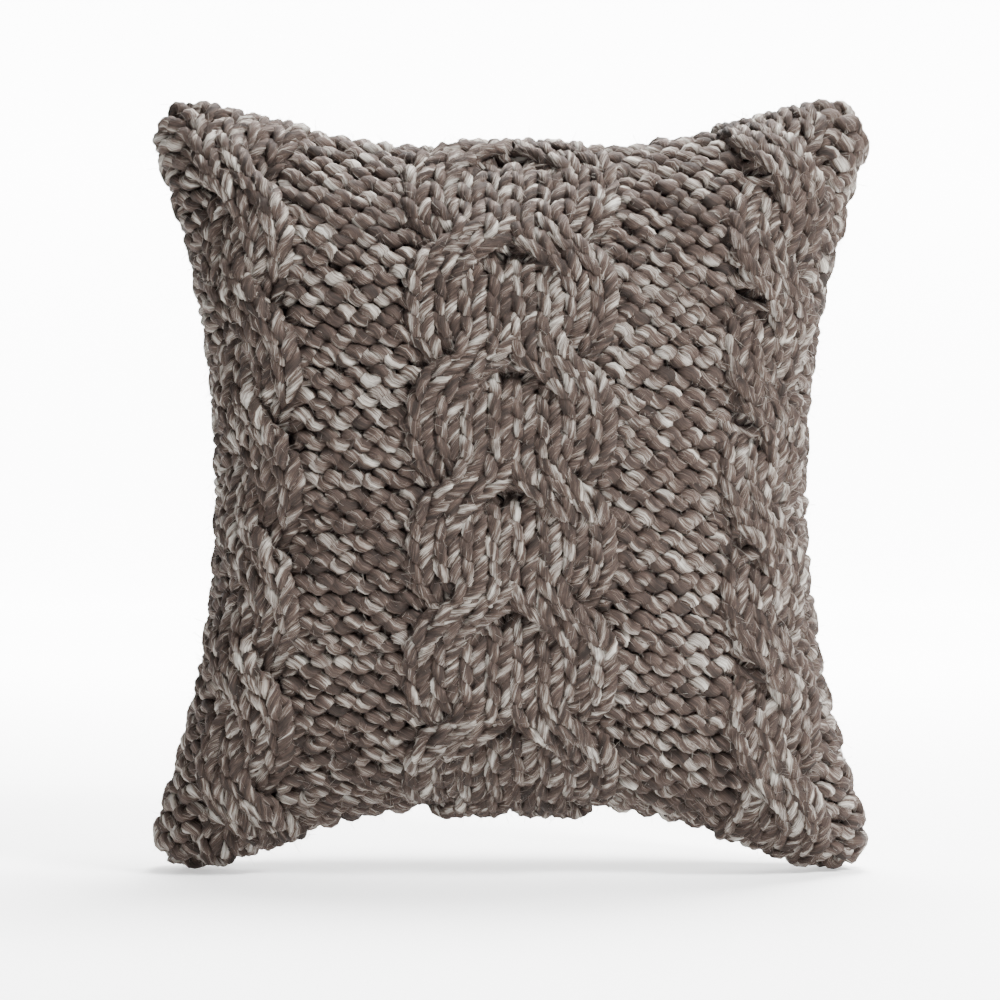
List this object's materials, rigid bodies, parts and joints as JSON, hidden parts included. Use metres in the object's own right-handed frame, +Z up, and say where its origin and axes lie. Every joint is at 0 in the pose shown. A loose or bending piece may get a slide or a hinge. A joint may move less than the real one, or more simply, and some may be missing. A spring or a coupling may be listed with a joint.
{
  "type": "throw pillow",
  "caption": "Square cable-knit throw pillow with pulled-in sides, eared corners, a zipped cover with a lining and a filled insert.",
  "frame": {"origin": "centre of the bounding box's base: on the surface that the bottom ears stand on, midway between them, in the seam plane", "axes": "+Z up along the pillow's height, -Y out of the cable-knit front, +X to the right of someone facing the front"},
  "size_m": [0.456, 0.19, 0.4902],
  "materials": {
    "yarn": "bulky slubby roving, marled taupe, dark brown-grey and light silver-grey, matt and fuzzy",
    "lining_cotton": "dark plain-woven cotton",
    "casing_cotton": "white plain-woven cotton",
    "fibre": "white hollow polyester fibre",
    "zip_tape": "dark taupe herringbone tape",
    "zip_coil": "dark polyester coil",
    "zip_metal": "plain satin gunmetal",
    "label_satin": "blank woven satin"
  },
  "bodies": {
    "root": {"knit_front_panel": "yarn", "knit_back_panel": "yarn", "seam_yarn_left": "yarn", "seam_yarn_right": "yarn", "seam_yarn_top": "yarn", "seam_yarn_bottom_left": "yarn", "seam_yarn_bottom_right": "yarn", "lining_front": "lining_cotton", "lining_back": "lining_cotton", "care_label": "label_satin", "insert_casing_front": "casing_cotton", "insert_casing_back": "casing_cotton", "fibre_fill": "fibre", "zip_tape_front": "zip_tape", "zip_tape_back": "zip_tape", "zip_coil_front": "zip_coil", "zip_coil_back": "zip_coil", "zip_top_stop_front": "zip_metal", "zip_top_stop_back": "zip_metal", "zip_bottom_stop": "zip_metal"},
    "slider": {"zip_slider": "zip_metal"},
    "pull_tab": {"zip_pull_tab": "zip_metal"}
  },
  "joints": [
    {"name": "zip_travel", "type": "hinge", "parent": "root", "child": "slider", "pos_m": [0, 0, -0.41677], "axis": [0, 1, 0], "range_deg": [-31.9, 0]},
    {"name": "tab_flip", "type": "hinge", "parent": "slider", "child": "pull_tab", "pos_m": [0.12754, 0, 0.02818], "axis": [0, -1, 0], "range_deg": [0, 175]}
  ]
}
